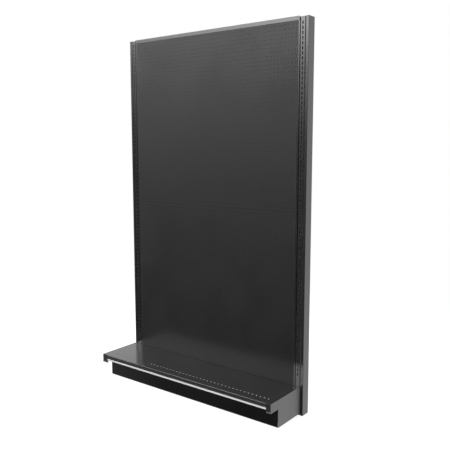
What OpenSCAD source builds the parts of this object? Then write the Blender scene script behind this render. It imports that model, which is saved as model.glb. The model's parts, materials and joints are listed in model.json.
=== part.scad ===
// Single-sided gondola shelving unit: two slotted uprights, a perforated back panel held by rails,
// and a closed base with a deck, a price rail and a kickplate.
// Millimetres. +Z is up, -Y is the front, and the origin is on the floor at the middle of the outline.

/* [Overall size] */
// Height from the floor to the top of the upright caps
unit_height = 2146; // [1600:0.1:2600]
// Distance between the two rows of shelf slots
slot_row_span = 1236; // [1100:1:1500]
// Depth of the base, from the front of the uprights to the nose
base_depth = 295; // [280:1:600]
// Height of the top of the base deck above the floor
deck_height = 165; // [160:0.1:180]

/* [Uprights] */
// Width of an upright, seen from the front
upright_width = 69; // [69:1:80]
// Depth of an upright
upright_depth = 61; // [60:1:80]
// Wall thickness of an upright
upright_wall = 2; // [1.5:0.1:2.5]
// Radius of the upright's outer corners
upright_radius = 2; // [2:0.5:4]
// Width of the recess that the slotted standard sits in
recess_width = 35; // [34:1:40]
// Depth of that recess
recess_depth = 14; // [14:1:16]
// Thickness of the cap on top of an upright
cap_thickness = 3; // [2:0.5:5]

/* [Slotted standards] */
// Width of the slotted standard
standard_width = 28; // [26:1:30]
// Distance from one shelf slot to the next
slot_pitch = 25.4; // [25:0.1:27]
// Width of a shelf slot
slot_width = 7; // [5:0.5:9]
// Height of a shelf slot
slot_height = 18.5; // [12:0.5:19]
// Distance from the top of an upright to the middle of the first slot
first_slot_drop = 32.5; // [25:0.5:40]
// Number of shelf slots in each standard
slot_count = 75; // [4:1:75]

/* [Panels and rails] */
// Thickness of the sheet that the panels are folded from
sheet = 1.2; // [0.8:0.1:1.5]
// How far the back panel laps onto each upright
panel_lap = 8; // [3:0.5:8]
// Height of the top rail's front leg
top_rail_height = 21; // [18:0.5:40]
// How far the top rail stands up above the uprights
top_rail_rise = 3.6; // [0:0.1:5]
// Height of the middle of the centre rail above the floor
centre_rail_height = 1130; // [600:1:1300]

/* [Base] */
// Clearance of the kickplate and the end panels above the floor
base_clearance = 10; // [9:0.1:15]
// Setback of the kickplate from the nose
kick_setback = 75; // [65:1:90]
// Height of the nose of an end panel
nose_height = 52; // [48:1:56]
// Distance from the outer face of the left end panel to the outer side of its upright
left_end_inset = 2.5; // [1:0.5:20]
// Distance from the outer face of the right end panel to the outer side of its upright
right_end_inset = 19.5; // [3:0.5:20]
// Distance between the tabs at the two ends of the nose
nose_span = 1214; // [1100:1:1220]
// Distance from the nose back to the row of divider holes
divider_setback = 56.5; // [40:0.5:60]
// Distance from one divider hole to the next
divider_pitch = 26; // [20:0.1:26]
// Diameter of a divider hole
divider_hole = 7; // [5:0.5:9]
// Number of divider holes
divider_count = 46; // [2:2:46]
// Height of the light strip in the price rail
strip_height = 10; // [8:0.5:12]

/* [Levellers] */
// How far a levelling foot screws out
leveller_travel = 20; // [10:1:20]
// Diameter of a levelling foot's threaded stud
stud_diameter = 10; // [8:1:10]

/* [Hidden] */
$fn = 48;
steps = 5;
eps = 0.01;

// Where the uprights stand
row_x = slot_row_span / 2;
y_front = (base_depth - upright_depth) / 2;
y_back = y_front + upright_depth;
inner_x = row_x - upright_width / 2;
outer_x = row_x + upright_width / 2;
wing_width = (upright_width - recess_width) / 2;
floor_gap = 1;
standard_wall = 2;

// Rails and panels between the uprights
panel_half = inner_x + panel_lap;
panel_fold = 12;
panel_bottom = 106;
rail_top = unit_height + top_rail_rise;
panel_top = rail_top - top_rail_height + 7;
rail_sheet = 1.5;
rail_plate = 3;
rail_height = 44;
rail_front = y_front + panel_fold + 0.5;
rail_back = y_back - 4.2;
rail_middle = (rail_front + rail_back) / 2;
rail_screw_heights = [panel_bottom - 1 - rail_height / 2, centre_rail_height, unit_height - 45];
rail_screw_rows = [rail_middle - 12, rail_middle + 12];
rear_face = y_back - 3;
rear_screw_columns = [-450, -150, 150, 450];
rear_screw_radius = 2;
screw_radius = 3;

// Base
y_nose = y_front - base_depth;
y_kick = y_nose + kick_setback;
function end_outer(side) = outer_x - (side < 0 ? left_end_inset : right_end_inset);
function end_inner(side) = end_outer(side) - sheet;
end_top = deck_height - 0.2;
nose_bottom = deck_height - nose_height;
tab_setback = 2.5;
tab_x = nose_span / 2;
bead_radius = 4.5;

bracket_plate = 3;
bracket_x = row_x - 15;
bracket_outer_x = bracket_x + bracket_plate;
bracket_reach = bracket_x + 25;
bracket_front = y_kick + 15;
bracket_bottom = 16;
bracket_top = deck_height - sheet;
bolt_heights = [52, 122];
bolt_radius = 4;
end_screw_rows = [y_front - 97, y_front - 17];
end_screw_height = 85;
end_screw_radius = 2.5;
lightening_rows = [y_front - 142, y_front - 57];

tie_sheet = 2;
tie_depth = 24;
tie_bottom = 94;
tie_top = 132;
tie_screw_y = bracket_front + tie_depth / 2;
tie_screw_heights = [103, 123];
clip_columns = [-480, -160, 160, 480];
kick_top = nose_bottom - 2;
end_gap = 1;
deck_rear = y_front - 1.5;
deck_fold = 20;
lip_half = tab_x - 0.5;
lip_joggle = 3.8;
price_top = deck_height - 11.5;
price_bottom = deck_height - 35;
price_sheet = 1;

foot_y = y_front + (recess_depth + upright_depth) / 2;
foot_front_x = bracket_x - 14;
foot_front_y = bracket_front + 24;
foot_plate = 4;
stud_clearance = 0.05;
pad_height = 9;
pad_rim = 5;
socket_depth = 5;
nut_height = 8;
nut_width = 1.9 * stud_diameter;

// ---- Helpers ----------------------------------------------------------------------------------

function unit(v) = v / norm(v);
function left_of(v) = [-v.y, v.x];
function turned(v, a) = [v.x * cos(a) - v.y * sin(a), v.x * sin(a) + v.y * cos(a)];
function turn_between(a, b) = atan2(a.x * b.y - a.y * b.x, a * b);

// One bend in the middle line of a folded sheet: pairs of a point and the direction to its left.
function bend(p, i, r) =
    let (before = unit(p[i] - p[i - 1]), after = unit(p[i + 1] - p[i]))
    let (a = turn_between(before, after), s = sign(a))
    let (centre = p[i] - before * r * tan(abs(a) / 2) + left_of(before) * s * r)
    [for (k = [0 : steps]) let (n = left_of(turned(before, a * k / steps))) [centre - n * s * r, n]];

function middle_line(p, radii) =
    let (last = len(p) - 1)
    concat(
        [[p[0], left_of(unit(p[1] - p[0]))]],
        [for (i = [1 : last - 1]) each bend(p, i, is_list(radii) ? radii[i - 1] : radii)],
        [[p[last], left_of(unit(p[last] - p[last - 1]))]]);

// Outline of a sheet of thickness t, folded along the points p; radii is one bend radius or a list.
module folded(p, t, radii) {
    line = middle_line(p, radii);
    last = len(line) - 1;
    polygon(concat(
        [for (q = line) q[0] + q[1] * t / 2],
        [for (i = [last : -1 : 0]) line[i][0] - line[i][1] * t / 2]));
}

// Extrudes a (Y, Z) outline along X.
module along_x(x0, x1) {
    translate([x0, 0, 0]) rotate([90, 0, 90]) linear_extrude(x1 - x0) children();
}

// Extrudes an (X, Z) outline along Y.
module along_y(y0, y1) {
    translate([0, y1, 0]) rotate([90, 0, 0]) linear_extrude(y1 - y0) children();
}

module box(low, high) {
    translate(low) cube(high - low);
}

module on_side(side) {
    if (side < 0) mirror([1, 0, 0]) children();
    else children();
}

module on_both_sides() {
    for (side = [-1, 1]) on_side(side) children();
}

module rounded_rect(w, d, r) {
    translate([r, 0]) square([w - 2 * r, d]);
    translate([0, r]) square([w, d - 2 * r]);
    for (x = [r, w - r], y = [r, d - r]) translate([x, y]) circle(r);
}

module obround(w, h) {
    square([w, h - w], center = true);
    for (s = [-1, 1]) translate([0, s * (h - w) / 2]) circle(w / 2);
}

module rod_y(x, y0, y1, z, r) {
    translate([x, y0, z]) rotate([-90, 0, 0]) cylinder(h = y1 - y0, r = r);
}

module rod_x(x0, x1, y, z, r) {
    translate([x0, y, z]) rotate([0, 90, 0]) cylinder(h = x1 - x0, r = r);
}

// ---- Uprights ---------------------------------------------------------------------------------

// Plan outline of an upright, shrunk by inset all round, with the recess open at the front.
module upright_outline(inset) {
    wing = wing_width - 2 * inset;
    deep = upright_depth - 2 * inset;
    core = recess_width + 2 * inset + wing;
    for (s = [-1, 1])
        translate([s * (upright_width - wing_width) / 2 - wing / 2, inset])
            rounded_rect(wing, deep, max(upright_radius - inset, 0.5));
    translate([-core / 2, recess_depth + inset])
        square([core, deep - recess_depth]);
}

module upright(side) {
    color("#3a3a3c") on_side(side) difference() {
        translate([row_x, y_front, floor_gap])
            linear_extrude(unit_height - cap_thickness - floor_gap) difference() {
                upright_outline(0);
                upright_outline(upright_wall);
            }
        for (y = rail_screw_rows, z = rail_screw_heights)
            rod_x(inner_x - 1, inner_x + upright_wall + 1, y, z, screw_radius);
    }
}

module upright_cap(side) {
    plug_height = 12;
    plug_wall = 2;
    color("#1c1c1e") on_side(side) translate([row_x, y_front, unit_height - cap_thickness]) {
        linear_extrude(cap_thickness) upright_outline(0);
        translate([0, 0, -plug_height]) linear_extrude(plug_height + eps) difference() {
            upright_outline(upright_wall);
            upright_outline(upright_wall + plug_wall);
        }
    }
}

module standard_section() {
    front = 6;
    inner = standard_width - 2 * standard_wall;
    difference() {
        union() {
            translate([-standard_width / 2, 0]) rounded_rect(standard_width, front, 2);
            translate([-standard_width / 2, front / 2])
                square([standard_width, recess_depth - front / 2]);
        }
        translate([-inner / 2, standard_wall]) square([inner, recess_depth]);
    }
}

module slotted_standard(side) {
    top = unit_height - 1;
    first = unit_height - first_slot_drop;
    bolt_clearance = 0.5;
    color("#444447") on_side(side) translate([row_x, y_front, 0]) difference() {
        translate([0, 0, floor_gap]) linear_extrude(top - floor_gap) standard_section();
        for (k = [0 : slot_count - 1]) translate([0, 0, first - k * slot_pitch])
            along_y(-1, standard_wall + 1) obround(slot_width, slot_height);
        for (z = bolt_heights) rod_y(0, -1, standard_wall + 1, z, bolt_radius + bolt_clearance);
    }
}

// Cuts the bore that a levelling foot's stud turns in, through a plate and its weld nut.
module stud_bore(x, y) {
    translate([x, y, bracket_bottom - 1])
        cylinder(h = foot_plate + nut_height + 2, r = stud_diameter / 2 + stud_clearance);
}

module weld_nut(x, y) {
    translate([x, y, bracket_bottom + foot_plate - eps])
        cylinder(h = nut_height, d = nut_width, $fn = 6);
}

// Plate welded into the foot of an upright.
module foot_plate(side) {
    color("#3a3a3c") on_side(side) difference() {
        union() {
            translate([row_x, y_front, bracket_bottom])
                linear_extrude(foot_plate) upright_outline(upright_wall);
            weld_nut(row_x, foot_y);
        }
        stud_bore(row_x, foot_y);
    }
}

// ---- Rails and panels -------------------------------------------------------------------------

// Plates that close the ends of a rail against the uprights, each with two screw holes.
module rail_ends(front, z_low, z_high, z_screw) {
    on_both_sides() difference() {
        box([inner_x - rail_plate, front, z_low], [inner_x, rail_back, z_high]);
        for (y = rail_screw_rows)
            rod_x(inner_x - rail_plate - 1, inner_x + 1, y, z_screw, screw_radius);
    }
}

// Cap rail over the top edges of both panels. Its front leg laps onto the uprights.
module top_rail() {
    front = y_front - sheet - rail_sheet / 2;
    bottom = rail_top - top_rail_height;
    middle = rail_top - rail_sheet / 2;
    back_leg = 24;
    screw_z = rail_screw_heights[2];
    lap_x = inner_x + wing_width - 0.5;
    color("#6a6a6e") {
        along_x(-lap_x, lap_x)
            folded([[front, bottom], [front, middle], [y_front - 0.2, middle]], rail_sheet, 1.7);
        along_x(-inner_x, inner_x)
            folded([[y_front - 0.5, middle], [y_back - 1, middle], [y_back - 1, rail_top - back_leg]],
                   rail_sheet, 1.7);
        rail_ends(rail_front, screw_z - 25, middle, screw_z);
    }
}

// A channel between the uprights, open downwards, with screw holes for the rear panel.
module rail_channel(front, z) {
    high = z + rail_height / 2;
    low = z - rail_height / 2;
    half = rail_sheet / 2;
    color("#3a3a3c") difference() {
        union() {
            along_x(-inner_x, inner_x) folded([
                [front + half, low], [front + half, high - half],
                [rail_back - half, high - half], [rail_back - half, low]], rail_sheet, 2.5);
            rail_ends(front, low, high - half, z);
        }
        for (x = rear_screw_columns)
            rod_y(x, rail_back - rail_sheet - 1, rail_back + 1, z, rear_screw_radius);
    }
}

module centre_rail() {
    rail_channel(rail_front, rail_screw_heights[1]);
}

module bottom_rail() {
    rail_channel(y_front + 1, rail_screw_heights[0]);
}

module rail_screws() {
    head = 3;
    seat = inner_x - rail_plate;
    color("#8a8a8c") on_both_sides()
        for (z = rail_screw_heights, y = rail_screw_rows) {
            rod_x(seat - eps, seat + 10, y, z, screw_radius);
            rod_x(seat - head, seat, y, z, 2 * screw_radius);
        }
}

// A tray: its face laps onto the uprights, and a fold all round goes in between them.
module back_panel() {
    inner = inner_x - 1;
    color("#2c2c2e") {
        box([-panel_half, y_front - sheet, panel_bottom], [panel_half, y_front, panel_top]);
        difference() {
            box([-inner, y_front - sheet, panel_bottom], [inner, y_front + panel_fold, panel_top]);
            box([sheet - inner, y_front - 2 * sheet, panel_bottom + sheet],
                [inner - sheet, y_front + panel_fold + 1, panel_top - sheet]);
        }
    }
}

module rear_panel() {
    inner = inner_x - 1;
    color("#2c2c2e") difference() {
        box([-inner, rear_face - sheet, rail_screw_heights[0] - rail_height / 2],
            [inner, rear_face, unit_height - 12]);
        for (x = rear_screw_columns, k = [0, 1])
            rod_y(x, rear_face - sheet - 1, rear_face + 1, rail_screw_heights[k], rear_screw_radius);
    }
}

module rear_panel_screws() {
    head = 1.6;
    shank = 8;
    color("#8a8a8c")
        for (x = rear_screw_columns, k = [0, 1]) {
            rod_y(x, rear_face - shank, rear_face + eps, rail_screw_heights[k], rear_screw_radius);
            rod_y(x, rear_face, rear_face + head, rail_screw_heights[k], 2.2 * rear_screw_radius);
        }
}

// ---- Base frame -------------------------------------------------------------------------------

// A steel shoe in front of each upright: web, top flange, rear flange and foot tab.
module base_bracket(side) {
    tab_half = 22;
    tab_reach = 26;
    lightening_height = 85;
    lightening_radius = 22;
    color("#3a3a3c") on_side(side) difference() {
        union() {
            box([bracket_x, bracket_front, bracket_bottom], [bracket_outer_x, y_front, bracket_top]);
            box([bracket_x, bracket_front, bracket_top - bracket_plate],
                [bracket_reach, y_front, bracket_top]);
            box([bracket_x, y_front - bracket_plate, bracket_bottom],
                [bracket_reach + 3, y_front, bracket_top]);
            box([bracket_x - tab_reach, foot_front_y - tab_half, bracket_bottom],
                [bracket_outer_x, foot_front_y + tab_half, bracket_bottom + foot_plate]);
            weld_nut(foot_front_x, foot_front_y);
        }
        stud_bore(foot_front_x, foot_front_y);
        for (z = bolt_heights)
            rod_y(row_x, y_front - bracket_plate - 1, y_front + 1, z, bolt_radius);
        for (y = lightening_rows)
            rod_x(bracket_x - 1, bracket_outer_x + 1, y, lightening_height, lightening_radius);
        for (z = tie_screw_heights)
            rod_x(bracket_x - 1, bracket_outer_x + 1, tie_screw_y, z, screw_radius);
        for (y = end_screw_rows)
            rod_x(bracket_x - 1, bracket_outer_x + 1, y, end_screw_height, end_screw_radius);
    }
}

module bracket_bolts() {
    head = 5;
    length = 14;
    seat = y_front - bracket_plate;
    color("#9a9a9c") on_both_sides()
        for (z = bolt_heights) {
            rod_y(row_x, seat - eps, seat + length, z, bolt_radius);
            translate([row_x, seat, z]) rotate([90, 0, 0]) cylinder(h = head, d = 15, $fn = 6);
        }
}

module bracket_nuts() {
    thick = 6.5;
    color("#9a9a9c") on_both_sides()
        for (z = bolt_heights)
            translate([row_x, y_front + standard_wall, z]) rotate([-90, 0, 0]) difference() {
                cylinder(h = thick, d = 15, $fn = 6);
                translate([0, 0, -1]) cylinder(h = thick + 2, r = bolt_radius);
            }
}

// A channel that ties the two brackets together behind the kickplate.
module tie_bar() {
    half = tie_sheet / 2;
    front = bracket_front;
    back = front + tie_depth;
    color("#3a3a3c") {
        along_x(-bracket_x, bracket_x) folded([
            [back, tie_top - half], [front + half, tie_top - half],
            [front + half, tie_bottom + half], [back, tie_bottom + half]], tie_sheet, 2.8);
        on_both_sides() difference() {
            box([bracket_x - rail_plate, front + half, tie_bottom + half],
                [bracket_x, back, tie_top - half]);
            for (z = tie_screw_heights)
                rod_x(bracket_x - rail_plate - 1, bracket_x + 1, tie_screw_y, z, screw_radius);
        }
    }
}

module tie_bar_screws() {
    head = 3.5;
    color("#8a8a8c") on_both_sides()
        for (z = tie_screw_heights) {
            rod_x(bracket_x - rail_plate - 2, bracket_outer_x + eps, tie_screw_y, z, screw_radius);
            rod_x(bracket_outer_x, bracket_outer_x + head, tie_screw_y, z, 2 * screw_radius);
        }
}

// Spring clips on the tie bar, open to the front, that grip the kickplate's top flange.
module kickplate_clips() {
    gap = 2.6;
    leaf = 0.8;
    reach = 9;
    half_gap = (gap + leaf) / 2;
    middle = kick_top - sheet / 2;
    back = bracket_front - leaf / 2;
    color("#8a8a8c")
        for (x = clip_columns) along_x(x - 15, x + 15) folded([
            [back - reach, middle + half_gap], [back, middle + half_gap],
            [back, middle - half_gap], [back - reach, middle - half_gap]], leaf, 0.9);
}

module kickplate() {
    flange = 11;
    half = sheet / 2;
    color("#232325") along_x(end_gap - end_inner(-1), end_inner(1) - end_gap) folded([
        [y_kick + flange, kick_top - half], [y_kick + half, kick_top - half],
        [y_kick + half, base_clearance + half], [y_kick + flange, base_clearance + half]], sheet, 1.8);
}

// ---- End panels -------------------------------------------------------------------------------

module end_panel_outline() {
    polygon([
        [y_front - 0.5, base_clearance], [y_front - 0.5, end_top],
        [y_nose + tab_setback, end_top], [y_nose + tab_setback, nose_bottom],
        [y_kick, nose_bottom], [y_kick, base_clearance]]);
}

// Strap welded inside an end panel. It reaches the bracket's web and is screwed to it.
module end_panel_strap(side, y) {
    strap = 1.5;
    half_width = 12;
    low = end_screw_height - 10;
    foot_x = bracket_outer_x + strap / 2;
    difference() {
        along_y(y - half_width, y + half_width)
            folded([[end_inner(side) + eps, low], [foot_x, low], [foot_x, low + 22]], strap, 1.8);
        rod_x(bracket_outer_x - 1, bracket_outer_x + strap + 1, y, end_screw_height,
              end_screw_radius);
    }
}

// Side sheet, the tab that returns across the nose, a rolled bead under the tab, and two straps.
module end_panel(side) {
    outer = end_outer(side);
    inner = end_inner(side);
    bead_y = y_nose + bead_radius;
    bead_z = nose_bottom + bead_radius;
    return_width = 12;
    color("#6c6c70") on_side(side) {
        along_x(inner, outer) end_panel_outline();
        box([tab_x, y_nose + tab_setback, bead_z], [outer, y_nose + tab_setback + sheet, end_top]);
        difference() {
            rod_x(tab_x, outer, bead_y, bead_z, bead_radius);
            rod_x(tab_x - 1, inner, bead_y, bead_z, bead_radius - sheet);
        }
        box([inner - return_width, bead_y, nose_bottom], [outer, y_kick, nose_bottom + sheet]);
        for (y = end_screw_rows) end_panel_strap(side, y);
    }
}

module end_panel_screws() {
    head = 3;
    color("#8a8a8c") on_both_sides()
        for (y = end_screw_rows) {
            rod_x(bracket_x - eps, bracket_outer_x + 4, y, end_screw_height, end_screw_radius);
            rod_x(bracket_x - head, bracket_x, y, end_screw_height, 2 * end_screw_radius);
        }
}

// ---- Deck and price rail ----------------------------------------------------------------------

// One end of the deck: the fold at its side, and the ear that runs back past the rear fold.
module deck_end(end_x, rear_half) {
    box([end_x - sheet, y_nose + 10, deck_height - sheet / 2 - deck_fold],
        [end_x, y_front - 6, deck_height - sheet / 2]);
    box([rear_half - eps, deck_rear - 10, deck_height - sheet], [end_x, deck_rear, deck_height]);
}

// Roll-formed deck: rounded nose, a step that takes the price rail, and folded rear and sides.
module base_deck() {
    half = sheet / 2;
    top = deck_height - half;
    rear_half = bracket_x - 3;
    step_y = y_nose + lip_joggle + half;
    color("#29292b") difference() {
        union() {
            along_x(-lip_half, lip_half) folded([
                [y_nose + 30, top], [y_nose + half, top], [y_nose + half, price_top + half],
                [step_y, price_top + half], [step_y, price_bottom + half],
                [step_y + 9, price_bottom + half]], sheet, [2, 0.8, 0.8, 1.8]);
            box([end_gap - end_inner(-1), y_nose + tab_setback + sheet + 0.3, top - half],
                [end_inner(1) - end_gap, deck_rear - 5, top + half]);
            along_x(-rear_half, rear_half) folded([
                [deck_rear - 20, top], [deck_rear - half, top], [deck_rear - half, top - deck_fold]],
                sheet, 1.8);
            for (side = [-1, 1]) on_side(side) deck_end(end_inner(side) - end_gap, rear_half);
        }
        for (k = [0 : divider_count - 1])
            translate([(k - (divider_count - 1) / 2) * divider_pitch, y_nose + divider_setback,
                       deck_height - 2 * sheet])
                cylinder(h = 3 * sheet, d = divider_hole);
    }
}

// Hat channels spot-welded under the deck.
module deck_stiffeners() {
    depth = 22;
    half = 14;
    brim = 12;
    top = bracket_top - sheet / 2;
    length = bracket_x - 4;
    color("#3a3a3c")
        for (y = [y_front - 145, y_front - 60]) along_x(-length, length) folded([
            [y - half - brim, top], [y - half, top], [y - half, top - depth],
            [y + half, top - depth], [y + half, top], [y + half + brim, top]], sheet, 2);
}

// Moulded channel in the step of the deck's front.
module price_rail() {
    half = price_sheet / 2;
    front = y_nose + 0.2 + half;
    back = y_nose + lip_joggle - half;
    color("#1c1c1e") along_x(-lip_half, lip_half) folded([
        [front, price_top - 3.5], [front, price_top - half], [back, price_top - half],
        [back, price_bottom + half], [front - half, price_bottom + half]], price_sheet, 0.7);
}

// Light strip that carries the price tickets, standing on the price rail's lower lip.
module price_strip() {
    thick = lip_joggle - price_sheet - 0.2;
    color("#e4e4e6") translate([0, y_nose + 0.1, price_bottom + price_sheet + 0.1])
        along_x(1 - lip_half, lip_half - 1) rounded_rect(thick, strip_height, 0.8);
}

// ---- Levelling feet ---------------------------------------------------------------------------

// Moulded pad, with a socket in its top for the stud.
module leveller_pad(side, x, y, radius) {
    color("#19191b") on_side(side) translate([x, y, 0]) difference() {
        union() {
            cylinder(h = pad_rim, r = radius);
            translate([0, 0, pad_rim - eps])
                cylinder(h = pad_height - pad_rim + eps, r1 = radius - 1.5, r2 = 8.5);
        }
        translate([0, 0, pad_height - socket_depth])
            cylinder(h = socket_depth + 1, d = stud_diameter);
    }
}

// Threaded stud with a hexagonal collar for the spanner, screwed fully in.
module leveller_stud(side, x, y) {
    collar = 6;
    length = 51;
    color("#9a9a9c") on_side(side) translate([x, y, pad_height]) {
        cylinder(h = collar, d = 16, $fn = 6);
        translate([0, 0, -socket_depth]) cylinder(h = length, d = stud_diameter);
    }
}

upright(-1);  // upright_left
upright(1);  // upright_right
slotted_standard(-1);  // slotted_standard_left
slotted_standard(1);  // slotted_standard_right
upright_cap(-1);  // upright_cap_left
upright_cap(1);  // upright_cap_right
foot_plate(-1);  // foot_plate_left
foot_plate(1);  // foot_plate_right
top_rail();
centre_rail();
bottom_rail();
rail_screws();
back_panel();
rear_panel();
rear_panel_screws();
base_bracket(-1);  // base_bracket_left
base_bracket(1);  // base_bracket_right
bracket_bolts();
bracket_nuts();
tie_bar();
tie_bar_screws();
kickplate_clips();
end_panel(-1);  // end_panel_left
end_panel(1);  // end_panel_right
end_panel_screws();
base_deck();
deck_stiffeners();
price_rail();
price_strip();
kickplate();
leveller_pad(-1, row_x, foot_y, 19);  // leveller_pad_rear_left
leveller_stud(-1, row_x, foot_y);  // leveller_stud_rear_left
leveller_pad(1, row_x, foot_y, 19);  // leveller_pad_rear_right
leveller_stud(1, row_x, foot_y);  // leveller_stud_rear_right
leveller_pad(-1, foot_front_x, foot_front_y, 13.5);  // leveller_pad_front_left
leveller_stud(-1, foot_front_x, foot_front_y);  // leveller_stud_front_left
leveller_pad(1, foot_front_x, foot_front_y, 13.5);  // leveller_pad_front_right
leveller_stud(1, foot_front_x, foot_front_y);  // leveller_stud_front_right
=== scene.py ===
"""Looks of a single-sided gondola shelving unit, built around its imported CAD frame."""

import json
import math

import bmesh
import bpy
from mathutils import Matrix, Vector
from mathutils.geometry import tessellate_polygon


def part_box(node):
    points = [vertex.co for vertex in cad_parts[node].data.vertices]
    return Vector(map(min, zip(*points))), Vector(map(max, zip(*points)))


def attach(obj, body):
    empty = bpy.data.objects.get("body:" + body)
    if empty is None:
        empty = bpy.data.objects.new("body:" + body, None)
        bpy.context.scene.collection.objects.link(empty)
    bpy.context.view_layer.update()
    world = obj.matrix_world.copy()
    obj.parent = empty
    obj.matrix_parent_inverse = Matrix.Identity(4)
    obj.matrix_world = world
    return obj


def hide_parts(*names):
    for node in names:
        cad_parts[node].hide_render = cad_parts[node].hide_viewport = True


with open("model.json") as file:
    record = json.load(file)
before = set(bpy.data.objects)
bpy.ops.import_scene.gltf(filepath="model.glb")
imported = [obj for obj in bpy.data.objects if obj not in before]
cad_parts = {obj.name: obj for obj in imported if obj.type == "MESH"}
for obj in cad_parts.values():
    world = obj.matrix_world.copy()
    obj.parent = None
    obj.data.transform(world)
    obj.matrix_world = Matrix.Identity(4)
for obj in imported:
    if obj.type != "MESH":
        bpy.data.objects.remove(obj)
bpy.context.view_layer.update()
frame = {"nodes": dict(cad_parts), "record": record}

MM = 0.001


# ---- Node helpers ------------------------------------------------------------------------------


def node(tree, kind, settings=None, inputs=None):
    """Adds a node; settings are its own properties, and inputs are values or sockets to link."""
    made = tree.nodes.new(kind)
    for key, value in (settings or {}).items():
        setattr(made, key, value)
    for key, value in (inputs or {}).items():
        if isinstance(value, bpy.types.NodeSocket):
            tree.links.new(value, made.inputs[key])
        else:
            made.inputs[key].default_value = value
    return made


def math_node(tree, operation, first, second=0.0):
    return node(tree, "ShaderNodeMath", {"operation": operation}, {0: first, 1: second}).outputs[0]


def ramp(tree, value, low, high, to_low=0.0, to_high=1.0, smooth=True):
    """Maps value from low..high to to_low..to_high, held at both ends."""
    kind = "SMOOTHSTEP" if smooth else "LINEAR"
    inputs = {"Value": value, "From Min": low, "From Max": high, "To Min": to_low, "To Max": to_high}
    return node(tree, "ShaderNodeMapRange", {"interpolation_type": kind}, inputs).outputs["Result"]


def mix_values(tree, factor, first, second):
    inputs = {0: factor, 2: first, 3: second}
    return node(tree, "ShaderNodeMix", {"data_type": "FLOAT"}, inputs).outputs[0]


def object_point(tree):
    """The place in the object's own frame, which is the frame of the whole unit here."""
    return node(tree, "ShaderNodeTexCoord").outputs["Object"]


def noise(tree, point, scale, detail=2.0):
    inputs = {"Vector": point, "Scale": scale, "Detail": detail}
    return node(tree, "ShaderNodeTexNoise", {}, inputs).outputs["Fac"]


def blend_colour(tree, factor, first, second):
    """The mix of two colours. A colour mix node has more sockets of each name, all but one unused."""
    inputs = {"Factor": factor, "A": first, "B": second}
    made = tree.nodes.new("ShaderNodeMix")
    made.data_type = "RGBA"
    for key, value in inputs.items():
        socket = next(s for s in made.inputs if s.name == key and s.enabled)
        if isinstance(value, bpy.types.NodeSocket):
            tree.links.new(value, socket)
        else:
            socket.default_value = value
    return next(s for s in made.outputs if s.enabled)


BEVEL_SAMPLES = 4
EDGE_BEND = (0.99, 0.85)


def edge_mask(tree, radius, breakup):
    """1 on edges within about radius, broken up by a noise, and 0 on flats."""
    rounded = node(tree, "ShaderNodeBevel", {"samples": BEVEL_SAMPLES}, {"Radius": radius}).outputs[0]
    flat = node(tree, "ShaderNodeNewGeometry").outputs["True Normal"]
    settings = {"operation": "DOT_PRODUCT"}
    same = node(tree, "ShaderNodeVectorMath", settings, {0: rounded, 1: flat}).outputs["Value"]
    return math_node(tree, "MULTIPLY", ramp(tree, same, *EDGE_BEND), breakup)


NEUTRAL = (1.0, 1.0, 1.0)
COOL = (1.0, 1.0, 1.03)


def rgb(level, tint=COOL):
    return tuple(level * t for t in tint) + (1.0,)


def new_material(name, metallic=0.0, specular=0.5, coat=0.0, coat_roughness=0.1):
    material = bpy.data.materials.new(name)
    material.use_nodes = True
    tree = material.node_tree
    shader = tree.nodes["Principled BSDF"]
    shader.inputs["Metallic"].default_value = metallic
    shader.inputs["Specular IOR Level"].default_value = specular
    shader.inputs["Coat Weight"].default_value = coat
    shader.inputs["Coat Roughness"].default_value = coat_roughness
    return material, tree, shader, object_point(tree)


# ---- Materials ---------------------------------------------------------------------------------

SIDE_LIGHT_FACING = (0.6, 0.9)
RECESS_START = (1.0 * MM, 2.5 * MM)
RECESS_END = (8.0 * MM, 10.0 * MM)


def painted_side_light_mask(tree):
    """1 on faces that look to the left or to the right, which get a painted side light."""
    normal = node(tree, "ShaderNodeNewGeometry").outputs["True Normal"]
    across = node(tree, "ShaderNodeSeparateXYZ", {}, {0: normal}).outputs["X"]
    return ramp(tree, math_node(tree, "ABSOLUTE", across), *SIDE_LIGHT_FACING)


def recess_mask(tree):
    """1 inside the recesses of the uprights, behind the faces of the slotted standards."""
    low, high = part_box("slotted_standard_right")
    parts = node(tree, "ShaderNodeSeparateXYZ", {}, {0: object_point(tree)}).outputs
    across = math_node(tree, "ABSOLUTE", parts["X"])
    middle, half = (low.x + high.x) / 2, (high.x - low.x) / 2
    inputs = {0: across, 1: middle, 2: half}
    inside = node(tree, "ShaderNodeMath", {"operation": "COMPARE"}, inputs).outputs[0]
    behind = ramp(tree, parts["Y"], *[low.y + depth for depth in RECESS_START])
    ahead = ramp(tree, parts["Y"], *[high.y + depth for depth in RECESS_END], 1.0, 0.0)
    return math_node(tree, "MULTIPLY", inside, math_node(tree, "MULTIPLY", behind, ahead))


# Edges are lightened: partly wear, partly a painted highlight.
WEAR_AND_HIGHLIGHT_RADIUS = 1.2 * MM
WEAR_AND_HIGHLIGHT_PAINT = rgb(0.16)


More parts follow.
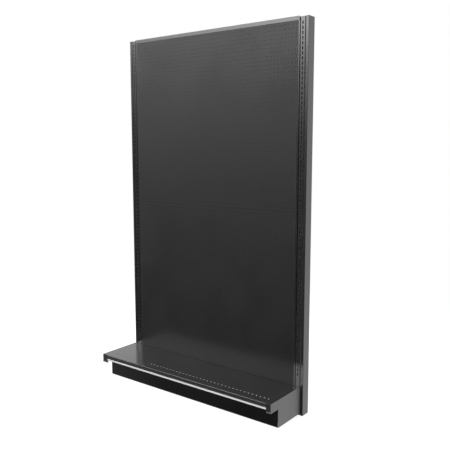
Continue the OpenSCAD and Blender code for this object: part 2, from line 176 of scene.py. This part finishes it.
def powder_coat(name, level, roughness, peel=0.12, wear_and_highlight_amount=0.35, thin_paint_and_side_light_mask=None, thin_paint_and_side_light_level=0.0,
                dull_roughness=0.6, **finish):
    """Baked powder paint: orange peel, slight mottling, and lighter edges, partly wear and partly a
    painted highlight.

    Where the second mask is 1 the paint shows the second level and dull_roughness: thin paint in the
    recesses, and painted side light on faces that look sideways.
    """
    material, tree, shader, point = new_material(name, **finish)
    mottle = noise(tree, point, scale=5.0, detail=4.0)
    grain = noise(tree, point, scale=650.0, detail=3.0)
    patches = ramp(tree, noise(tree, point, scale=35.0, detail=5.0), 0.4, 0.65)
    # Lighter edges: partly wear, partly a painted highlight.
    wear_and_highlight_edges = edge_mask(tree, WEAR_AND_HIGHLIGHT_RADIUS, patches)
    paint = blend_colour(tree, mottle, rgb(0.88 * level), rgb(1.12 * level))
    wear_and_highlight_mix = math_node(tree, "MULTIPLY", wear_and_highlight_edges, wear_and_highlight_amount)
    colour = blend_colour(tree, wear_and_highlight_mix, paint, WEAR_AND_HIGHLIGHT_PAINT)
    dull = ramp(tree, mottle, 0.3, 0.7, 0.92 * roughness, 1.08 * roughness)
    rough = math_node(tree, "MULTIPLY", dull, ramp(tree, grain, 0.2, 0.8, 0.9, 1.1))
    # Where the mask is 1: thin paint in the recesses, and painted side light on sideways faces.
    if thin_paint_and_side_light_mask:
        thin_paint_and_side_light = thin_paint_and_side_light_mask(tree)
        tone = blend_colour(tree, mottle, rgb(0.94 * thin_paint_and_side_light_level), rgb(1.06 * thin_paint_and_side_light_level))
        colour = blend_colour(tree, thin_paint_and_side_light, colour, tone)
        rough = mix_values(tree, thin_paint_and_side_light, rough, dull_roughness)
    inputs = {"Height": grain, "Strength": peel, "Distance": 0.2 * MM}
    bump = node(tree, "ShaderNodeBump", {}, inputs)
    tree.links.new(colour, shader.inputs["Base Color"])
    tree.links.new(rough, shader.inputs["Roughness"])
    tree.links.new(bump.outputs[0], shader.inputs["Normal"])
    return material


def moulded_plastic(name, colour, roughness, texture, **finish):
    """Injection-moulded plastic with a fine spark-eroded texture and faint flow marks."""
    material, tree, shader, point = new_material(name, **finish)
    flow = noise(tree, point, scale=9.0, detail=3.0)
    spark = noise(tree, point, scale=1400.0, detail=2.0)
    dark = tuple(0.93 * c for c in colour[:3]) + (1.0,)
    tone = blend_colour(tree, flow, dark, colour)
    rough = ramp(tree, spark, 0.25, 0.75, 0.85 * roughness, 1.15 * roughness)
    inputs = {"Height": spark, "Strength": texture, "Distance": 0.1 * MM}
    bump = node(tree, "ShaderNodeBump", {}, inputs)
    tree.links.new(tone, shader.inputs["Base Color"])
    tree.links.new(rough, shader.inputs["Roughness"])
    tree.links.new(bump.outputs[0], shader.inputs["Normal"])
    return material


def plated_steel(name, bright, dull, roughness):
    """Zinc or spring steel: mottled crystals, and darker where the plating is thin."""
    material, tree, shader, point = new_material(name, metallic=1.0)
    crystals = noise(tree, point, scale=420.0, detail=4.0)
    stain = noise(tree, point, scale=60.0, detail=3.0)
    colour = blend_colour(tree, ramp(tree, stain, 0.35, 0.7), bright, dull)
    rough = ramp(tree, crystals, 0.3, 0.7, 0.8 * roughness, 1.25 * roughness)
    inputs = {"Height": crystals, "Strength": 0.1, "Distance": 0.05 * MM}
    bump = node(tree, "ShaderNodeBump", {}, inputs)
    tree.links.new(colour, shader.inputs["Base Color"])
    tree.links.new(rough, shader.inputs["Roughness"])
    tree.links.new(bump.outputs[0], shader.inputs["Normal"])
    return material


MATERIALS = {
    "frame_coat": powder_coat("frame_coat", level=0.01, roughness=0.14, thin_paint_and_side_light_mask=recess_mask,
                              thin_paint_and_side_light_level=0.18),
    "panel_coat": powder_coat("panel_coat", level=0.003, roughness=0.5, specular=0.2,
                              coat=0.12, coat_roughness=0.2),
    # The end panels' sideways faces are lighter than their fronts: painted side light.
    "end_panel_coat": powder_coat("end_panel_coat", level=0.012, roughness=0.2, thin_paint_and_side_light_mask=painted_side_light_mask,
                                  thin_paint_and_side_light_level=0.072),
    "deck_coat": powder_coat("deck_coat", level=0.01, roughness=0.14, peel=0.06),
    "kick_coat": powder_coat("kick_coat", level=0.003, roughness=0.22),
    "cap_plastic": moulded_plastic("cap_plastic", rgb(0.02), roughness=0.45, texture=0.2),
    "rail_plastic": moulded_plastic("rail_plastic", rgb(0.01), roughness=0.5, texture=0.05,
                                    specular=0.2),
    "strip_plastic": moulded_plastic("strip_plastic", rgb(0.32, NEUTRAL), roughness=0.4,
                                     texture=0.04),
    "zinc_plate": plated_steel("zinc_plate", rgb(0.62), rgb(0.4), roughness=0.32),
    "spring_steel": plated_steel("spring_steel", rgb(0.32), rgb(0.2), roughness=0.28),
    "foot_plastic": moulded_plastic("foot_plastic", rgb(0.02), roughness=0.55, texture=0.25),
}


# ---- Mesh helpers ------------------------------------------------------------------------------


def mesh_object(name, points, faces, slot, body, smooth_angle=None):
    """A piece from points in metres; it rides on body and has the finish of a record slot."""
    mesh = bpy.data.meshes.new(name)
    mesh.from_pydata(points, [], faces)
    mesh.validate()
    mesh.materials.append(MATERIALS[slot])
    piece = bpy.data.objects.new(name, mesh)
    bpy.context.scene.collection.objects.link(piece)
    if smooth_angle:
        mesh.shade_smooth()
        mesh.set_sharp_from_angle(angle=math.radians(smooth_angle))
    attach(piece, body)
    return piece


def body_of_node(name):
    bodies = frame["record"]["behaviour"]["bodies"]
    return next(body for body, nodes in bodies.items() if name in nodes)


# ---- Perforated back panel ---------------------------------------------------------------------

PEG_PITCH = 21.8 * MM
PEG_RADIUS = 2.2 * MM
PEG_SIDES = 8
PEG_MARGIN = 13.0 * MM
SHEET = 1.2 * MM
TRAY_INSET = 7.0 * MM


def grid_lines(low, high, pitch):
    """The grid lines between the holes of a centred row, the first hole's place and their count.

    The two outer lines lie on the sheet's edges.
    """
    count = int((high - low - 2 * PEG_MARGIN) / pitch) + 1
    first = (low + high - count * pitch) / 2
    return [low] + [first + i * pitch for i in range(1, count)] + [high], first + pitch / 2, count


def perforated_sheet(x_low, x_high, z_low, z_high, y_front, y_back):
    """Points and faces of a closed sheet with a square grid of round holes through it."""
    x_lines, x_first, columns = grid_lines(x_low, x_high, PEG_PITCH)
    z_lines, z_first, rows = grid_lines(z_low, z_high, PEG_PITCH)
    points, faces = [], []
    width = columns + 1
    for y in (y_front, y_back):
        points += [(x, y, z) for z in z_lines for x in x_lines]
    layer = width * (rows + 1)
    turns = [math.tau * (k + 0.5) / PEG_SIDES for k in range(PEG_SIDES)]
    outline = [(PEG_RADIUS * math.cos(a), PEG_RADIUS * math.sin(a)) for a in turns]
    for j in range(rows):
        for i in range(columns):
            x, z = x_first + i * PEG_PITCH, z_first + j * PEG_PITCH
            hole = len(points)
            for y in (y_front, y_back):
                points += [(x + across, y, z + up) for across, up in outline]
            corner = j * width + i
            front = [corner + width + 1, corner + width, corner, corner + 1]
            faces += cell(front, hole, False)
            faces += cell([c + layer for c in front], hole + PEG_SIDES, True)
            for k in range(PEG_SIDES):
                n = (k + 1) % PEG_SIDES
                faces.append((hole + k, hole + n, hole + PEG_SIDES + n, hole + PEG_SIDES + k))
    # The grid points along the sheet's four edges, in order, join the front to the back.
    border = list(range(columns + 1))
    border += [width * (j + 1) + columns for j in range(rows)]
    border += [width * rows + columns - 1 - i for i in range(columns)]
    border += [width * (rows - 1 - j) for j in range(rows - 1)]
    for a, b in zip(border, border[1:] + border[:1]):
        faces.append((a, a + layer, b + layer, b))
    return points, faces


def cell(corners, hole, flipped):
    """Faces between a square (top right, top left, bottom left, bottom right) and its hole."""
    faces = []
    for q in range(4):
        a, b = hole + 2 * q, hole + 2 * q + 1
        after = hole + (2 * q + 2) % PEG_SIDES
        faces.append((corners[q], b, a))
        faces.append((corners[q], corners[(q + 1) % 4], after, b))
    return [tuple(reversed(face)) for face in faces] if flipped else faces


def tray_rim(x, z_low, z_high, y_front, y_back):
    """The fold all round behind the sheet, as a closed frame."""
    loops = []
    for inset, y in ((0, y_front), (0, y_back), (SHEET, y_back), (SHEET, y_front)):
        left, right, low, high = -x + inset, x - inset, z_low + inset, z_high - inset
        loops.append([(left, y, low), (right, y, low), (right, y, high), (left, y, high)])
    points = [p for loop in loops for p in loop]
    faces = []
    for s in range(4):
        a, b = 4 * s, 4 * ((s + 1) % 4)
        faces += [(a + k, a + (k + 1) % 4, b + (k + 1) % 4, b + k) for k in range(4)]
    return points, faces


def build_back_panel():
    low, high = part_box("back_panel")
    points, faces = perforated_sheet(low.x, high.x, low.z, high.z, low.y, low.y + SHEET)
    rim_points, rim_faces = tray_rim(high.x - TRAY_INSET, low.z, high.z, low.y + SHEET / 2, high.y)
    start = len(points)
    points += rim_points
    faces += [tuple(start + v for v in face) for face in rim_faces]
    body = body_of_node("back_panel")
    panel = mesh_object("perforated_back_panel", points, faces, "panel_coat", body)
    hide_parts("back_panel")


# ---- Screws, bolts and levelling studs ---------------------------------------------------------

ROUND = 24
THREAD_STEPS = 16
HEXAGON = 6
SMOOTH_ANGLE = 28
SCREW_PITCH = 1.0 * MM
SCREW_DEPTH = 0.45 * MM
ROUND_HEAD_SHANK = 0.25
HEXAGON_SHANK = 0.27
STUD_PITCH = 1.5 * MM
STUD_DEPTH = 0.8 * MM
STUD_RADIUS = 5.0 * MM
COLLAR_HEIGHT = 6.0 * MM
WELD_GAP = 0.005 * MM


def solids(name):
    """Boxes (low, high) of the separate solids in a CAD node."""
    work = bmesh.new()
    work.from_mesh(frame["nodes"][name].data)
    bmesh.ops.remove_doubles(work, verts=work.verts, dist=WELD_GAP)
    left, boxes = set(work.verts), []
    while left:
        waiting, found = [left.pop()], []
        while waiting:
            vert = waiting.pop()
            found.append(vert.co.copy())
            near = {edge.other_vert(vert) for edge in vert.link_edges} & left
            left -= near
            waiting += near
        boxes.append((Vector(map(min, zip(*found))), Vector(map(max, zip(*found)))))
    work.free()
    return sorted(boxes, key=lambda box: tuple(box[0]))


def ring(radius, height, count=ROUND):
    angles = [math.tau * k / count for k in range(count)]
    return [(radius * math.cos(a), radius * math.sin(a), height) for a in angles]


def skin(rings, points, faces):
    """Adds rings of equal count, joined in turn by quads. Returns the index of their first point."""
    count = len(rings[0])
    start = len(points)
    for loop in rings:
        points += loop
    for r in range(len(rings) - 1):
        for k in range(count):
            a, b = start + r * count + k, start + r * count + (k + 1) % count
            faces.append((a, b, b + count, a + count))
    return start


def close_end(faces, start, count, upward):
    """Closes the ring that begins at point start with one flat face."""
    loop = list(range(start, start + count))
    faces.append(tuple(loop if upward else reversed(loop)))


def thread(radius, low, high, pitch, depth, points, faces):
    """A helical thread between two heights, closed by flat ends.

    The profile gives the depth of the cut at four places along one pitch.
    """
    turns = math.ceil((high - low) / pitch) + 1
    profile = ((0.0, depth), (0.3, depth), (0.5, 0.0), (0.8, 0.0))
    rings = [ring(radius - depth, low, THREAD_STEPS)]
    for turn in range(turns):
        for part, cut in profile:
            loop = []
            for k, place in enumerate(ring(radius - cut, low, THREAD_STEPS)):
                rise = (turn - 1 + part + k / THREAD_STEPS) * pitch
                loop.append((place[0], place[1], min(max(low + rise, low), high)))
            rings.append(loop)
    rings.append(ring(radius - depth, high, THREAD_STEPS))
    start = skin(rings, points, faces)
    close_end(faces, start, THREAD_STEPS, False)
    close_end(faces, start + (len(rings) - 1) * THREAD_STEPS, THREAD_STEPS, True)


def cross_outline(reach, half, height):
    """The twelve corners of a cross, anticlockwise."""
    quarter = [(reach, -half), (reach, half), (half, half)]
    points = []
    for turn in range(4):
        c, s = round(math.cos(turn * math.pi / 2)), round(math.sin(turn * math.pi / 2))
        points += [(c * x - s * y, s * x + c * y, height) for x, y in quarter]
    return points


def pan_head(radius, low, high, points, faces):
    """A domed screw head with a cross recess in its top, in proportion to its radius and height."""
    tall = high - low
    dome = [(radius, low), (radius, low + 0.35 * tall), (0.93 * radius, low + 0.65 * tall),
            (0.78 * radius, low + 0.88 * tall), (0.62 * radius, high)]
    start = skin([ring(r, z) for r, z in dome], points, faces)
    close_end(faces, start, ROUND, False)
    rim = list(range(start + (len(dome) - 1) * ROUND, start + len(dome) * ROUND))
    mouth = cross_outline(0.5 * radius, 0.13 * radius, high)
    pit = cross_outline(0.3 * radius, 0.08 * radius, high - 0.6 * tall)
    first = skin([mouth, pit], points, faces)
    order = rim + list(reversed(range(first, first + len(mouth))))
    loops = [[Vector(points[i]) for i in rim], [Vector(p) for p in reversed(mouth)]]
    for a, b, c in tessellate_polygon(loops):
        faces.append((order[a], order[b], order[c]))
    close_end(faces, first + len(mouth), len(pit), True)


def hex_head(width, low, high, points, faces):
    """A hexagonal head with a chamfered top; width is across its corners."""
    radius = width / 2
    flat, chamfer = 0.86 * radius, 0.22 * (high - low)
    outline = ((radius, low), (radius, high - chamfer), (flat, high))
    start = skin([ring(r, z, HEXAGON) for r, z in outline], points, faces)
    close_end(faces, start, HEXAGON, False)
    close_end(faces, start + 2 * HEXAGON, HEXAGON, True)


def turned(points, axis, place):
    """Points made along +Z, laid along axis from place."""
    turn = Vector((0, 0, 1)).rotation_difference(Vector(axis)).to_matrix()
    return [tuple(turn @ Vector(p) + place) for p in points]


def build_screws(name, axis, head_height, hexagonal=False):
    """Every screw of a CAD node again, with a drive or a hexagon and a thread.

    The heads are at the +axis end. An axis along X is that of the right side, and its mirror
    image is used on the left.
    """
    points, faces = [], []
    for low, high in solids(name):
        middle = (low + high) / 2
        toward = Vector(axis)
        if axis[0]:
            toward = toward * (1 if middle.x > 0 else -1)
        length = abs((high - low).dot(toward))
        width = max(abs(part) for part in (high - low).cross(toward))
        tip = middle - toward * length / 2
        neck = length - head_height
        own_points, own_faces = [], []
        if hexagonal:
            hex_head(width, neck, length, own_points, own_faces)
            shank = HEXAGON_SHANK * width
        else:
            pan_head(width / 2, neck, length, own_points, own_faces)
            shank = ROUND_HEAD_SHANK * width
        thread(shank, 0.0, neck, SCREW_PITCH, SCREW_DEPTH, own_points, own_faces)
        start = len(points)
        points += turned(own_points, toward, tip)
        faces += [tuple(start + v for v in face) for face in own_faces]
    body = body_of_node(name)
    piece = mesh_object(name + "_detailed", points, faces, "zinc_plate", body, SMOOTH_ANGLE)
    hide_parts(name)


def build_fasteners():
    build_screws("rear_panel_screws", axis=(0, 1, 0), head_height=1.6 * MM)
    build_screws("end_panel_screws", axis=(-1, 0, 0), head_height=3.0 * MM)
    build_screws("tie_bar_screws", axis=(1, 0, 0), head_height=3.5 * MM)
    build_screws("rail_screws", axis=(-1, 0, 0), head_height=3.0 * MM)
    build_screws("bracket_bolts", axis=(0, -1, 0), head_height=5.0 * MM, hexagonal=True)


def build_studs():
    """Threaded studs with a hexagonal collar, in place of the plain ones."""
    for name in sorted(frame["nodes"]):
        if not name.startswith("leveller_stud"):
            continue
        low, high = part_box(name)
        middle = (low + high) / 2
        pad_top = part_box(name.replace("stud", "pad"))[1].z
        points, faces = [], []
        hex_head(high.x - low.x, pad_top, pad_top + COLLAR_HEIGHT, points, faces)
        thread(STUD_RADIUS, low.z, high.z, STUD_PITCH, STUD_DEPTH, points, faces)
        points = [(x + middle.x, y + middle.y, z) for x, y, z in points]
        body = body_of_node(name)
        stud = mesh_object(name + "_threaded", points, faces, "zinc_plate", body, SMOOTH_ANGLE)
        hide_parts(name)


# ---- CAD pieces that keep their shape ----------------------------------------------------------


def finish_cad_nodes():
    """Gives every CAD node the material of its slot in the record."""
    slots = {row["node"]: row["material_slot"] for row in frame["record"]["subparts"]}
    for name, piece in frame["nodes"].items():
        piece.data.materials.clear()
        piece.data.materials.append(MATERIALS[slots[name]])


# ---- Studio ------------------------------------------------------------------------------------

CAMERA_PLACE = (2.2633, -2.6816, 1.4769)
CAMERA_PITCH = 7.372
CAMERA_ROLL = -0.023
CAMERA_AZIMUTH = 37.461
CAMERA_LENS = 48.587
CAMERA_SHIFT = (-0.0019, 0.0025)
SENSOR = 36.0


def build_camera():
    lens = bpy.data.cameras.new("camera")
    lens.sensor_width = SENSOR
    lens.lens = CAMERA_LENS
    lens.shift_x, lens.shift_y = CAMERA_SHIFT
    camera = bpy.data.objects.new("camera", lens)
    turn = Matrix.Rotation(math.radians(CAMERA_AZIMUTH), 4, "Z")
    tilt = Matrix.Rotation(math.radians(90 - CAMERA_PITCH), 4, "X")
    roll = Matrix.Rotation(math.radians(CAMERA_ROLL), 4, "Z")
    camera.matrix_world = Matrix.Translation(CAMERA_PLACE) @ turn @ tilt @ roll
    bpy.context.scene.collection.objects.link(camera)
    bpy.context.scene.camera = camera


# Directions run from -1 to 1 along each axis. Over the stretch in a pair, a light rises from none
# to full, or goes from the first to the second of the LEVELS that come after the pair.
BACKDROP_SIDES = (-0.5, 0.5)
BACKDROP_LEVELS = (1.25, 1.47)
BACKDROP_DEPTH = (-0.25, 0.15)
SOFTBOX = 13.0
SOFTBOX_FALLOFF = 2.3
SOFTBOX_SIDE = (-0.62, -0.785, 0.0)
SOFTBOX_SPREAD = (0.5, 0.8)
SOFTBOX_HEIGHT = (-0.1, 0.375)
SOFTBOX_TOP = (0.5, 0.38)
SOFTBOX_LEFT = (-0.72, -0.5)
SOFTBOX_LEVELS = (0.75, 1.05)
RIM = 3.8
RIM_HEIGHT = (0.14, 0.195)
LOW_GLOW = 0.2
LOW_GLOW_HEIGHT = (-0.25, -0.08)
FILL = 0.18
FILL_SIDE = (0.74, -0.67, 0.0)
FILL_SPREAD = (0.6, 0.85)
BOUNCE = 0.6
BOUNCE_REACH = (-0.64, -0.74)
BOUNCE_HEIGHT = (-0.31, -0.34)
OVERHEAD = 1.2
OVERHEAD_HEIGHT = (0.3, 0.8)


def toward_side(tree, direction, side, spread):
    """1 in directions near side, fading out as their dot product with it falls through spread."""
    settings = {"operation": "DOT_PRODUCT"}
    facing = node(tree, "ShaderNodeVectorMath", settings, {0: direction, 1: side}).outputs["Value"]
    return ramp(tree, facing, *spread)


def softbox_face(tree, parts):
    """The brightness of the large softbox by height and, from its left edge, across."""
    height = ramp(tree, parts["Z"], *SOFTBOX_HEIGHT, smooth=False)
    falloff = math_node(tree, "MULTIPLY", math_node(tree, "POWER", height, SOFTBOX_FALLOFF), SOFTBOX)
    face = math_node(tree, "ADD", falloff, ramp(tree, parts["Z"], *RIM_HEIGHT, 0.0, RIM))
    low_glow = ramp(tree, parts["Z"], *LOW_GLOW_HEIGHT, 0.0, LOW_GLOW)
    face = math_node(tree, "MAXIMUM", face, low_glow)
    sideways = ramp(tree, parts["X"], *SOFTBOX_LEFT, *SOFTBOX_LEVELS, smooth=False)
    face = math_node(tree, "MULTIPLY", face, sideways)
    return math_node(tree, "MULTIPLY", face, ramp(tree, parts["Z"], *SOFTBOX_TOP))


def build_world():
    """A bright backdrop behind and beside the unit, and a large softbox in front, to the left.

    A weak copy of the softbox fills in from the right, some light comes up from below on the
    left, and a soft light hangs overhead. The camera itself sees plain white.
    """
    world = bpy.data.worlds.new("studio")
    world.use_nodes = True
    tree = world.node_tree
    direction = node(tree, "ShaderNodeTexCoord").outputs["Generated"]
    parts = node(tree, "ShaderNodeSeparateXYZ", {}, {0: direction}).outputs
    glow = ramp(tree, parts["X"], *BACKDROP_SIDES, *BACKDROP_LEVELS)
    backdrop = math_node(tree, "MULTIPLY", ramp(tree, parts["Y"], *BACKDROP_DEPTH), glow)
    face = softbox_face(tree, parts)
    near_softbox = toward_side(tree, direction, SOFTBOX_SIDE, SOFTBOX_SPREAD)
    near_fill = toward_side(tree, direction, FILL_SIDE, FILL_SPREAD)
    fill = math_node(tree, "MULTIPLY", near_fill, FILL)
    box = math_node(tree, "MULTIPLY", face, math_node(tree, "ADD", near_softbox, fill))
    bounce = math_node(tree, "MULTIPLY", ramp(tree, parts["X"], *BOUNCE_REACH, 0.0, BOUNCE),
                       ramp(tree, parts["Z"], *BOUNCE_HEIGHT))
    box = math_node(tree, "ADD", box, math_node(tree, "MULTIPLY", bounce, near_softbox))
    overhead = ramp(tree, parts["Z"], *OVERHEAD_HEIGHT, 0.0, OVERHEAD)
    light = math_node(tree, "ADD", math_node(tree, "MAXIMUM", backdrop, overhead), box)
    seen = node(tree, "ShaderNodeLightPath").outputs["Is Camera Ray"]
    background = tree.nodes["Background"]
    background.inputs["Color"].default_value = rgb(1.0, NEUTRAL)
    tree.links.new(mix_values(tree, seen, light, 1.0), background.inputs["Strength"])
    bpy.context.scene.world = world


FLOOR_RADIUS = 3.2
FLOOR_FADE = 1.4
FLOOR_LEVEL = 0.3
FLOOR_GLOW = 0.8
PAINTED_SHADOW_GLOW = 0.12
# The floor below the base gets a painted shadow, darkening between these two distances in from the
# edges of the deck.
UNDER_SIDES = (0.05, 0.12)
UNDER_FRONT = (0.13, 0.2)
UNDER_REAR = (-0.04, 0.02)


def painted_base_shadow_mask(tree, point):
    """1 on the floor below the middle of the base, where a shadow is painted, and 0 around it."""
    low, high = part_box("base_deck")
    parts = node(tree, "ShaderNodeSeparateXYZ", {}, {0: point}).outputs
    sideways = math_node(tree, "ABSOLUTE", parts["X"])
    across = ramp(tree, sideways, *[high.x - inset for inset in UNDER_SIDES])
    front = ramp(tree, parts["Y"], *[low.y + inset for inset in UNDER_FRONT])
    rear = ramp(tree, parts["Y"], *[high.y - inset for inset in UNDER_REAR])
    return math_node(tree, "MULTIPLY", across, math_node(tree, "MULTIPLY", front, rear))


def build_floor():
    """A pale floor that fades out into the white of the studio."""
    material = bpy.data.materials.new("floor")
    material.use_nodes = True
    tree = material.node_tree
    tree.nodes.clear()
    point = object_point(tree)
    away = node(tree, "ShaderNodeVectorMath", {"operation": "LENGTH"}, {0: point}).outputs["Value"]
    gone = ramp(tree, away, FLOOR_FADE, FLOOR_RADIUS)
    matt = node(tree, "ShaderNodeBsdfDiffuse", {}, {"Color": rgb(FLOOR_LEVEL, NEUTRAL)}).outputs[0]
    # Below the base the floor glows less: a painted shadow.
    strength = mix_values(tree, painted_base_shadow_mask(tree, point), FLOOR_GLOW, PAINTED_SHADOW_GLOW)
    glow = node(tree, "ShaderNodeEmission", {}, {"Strength": strength}).outputs[0]
    lit = node(tree, "ShaderNodeAddShader", {}, {0: matt, 1: glow}).outputs[0]
    clear = node(tree, "ShaderNodeBsdfTransparent").outputs[0]
    both = node(tree, "ShaderNodeMixShader", {}, {0: gone, 1: lit, 2: clear}).outputs[0]
    node(tree, "ShaderNodeOutputMaterial", {}, {"Surface": both})
    corners = [(-FLOOR_RADIUS, -FLOOR_RADIUS, 0), (FLOOR_RADIUS, -FLOOR_RADIUS, 0),
               (FLOOR_RADIUS, FLOOR_RADIUS, 0), (-FLOOR_RADIUS, FLOOR_RADIUS, 0)]
    mesh = bpy.data.meshes.new("floor")
    mesh.from_pydata(corners, [], [(0, 1, 2, 3)])
    mesh.materials.append(material)
    floor = bpy.data.objects.new("floor", mesh)
    bpy.context.scene.collection.objects.link(floor)
    floor.visible_glossy = False


# ---- Everything --------------------------------------------------------------------------------

bpy.context.scene.view_settings.view_transform = "Standard"
build_camera()
build_world()
build_floor()
finish_cad_nodes()
build_back_panel()
build_fasteners()
build_studs()
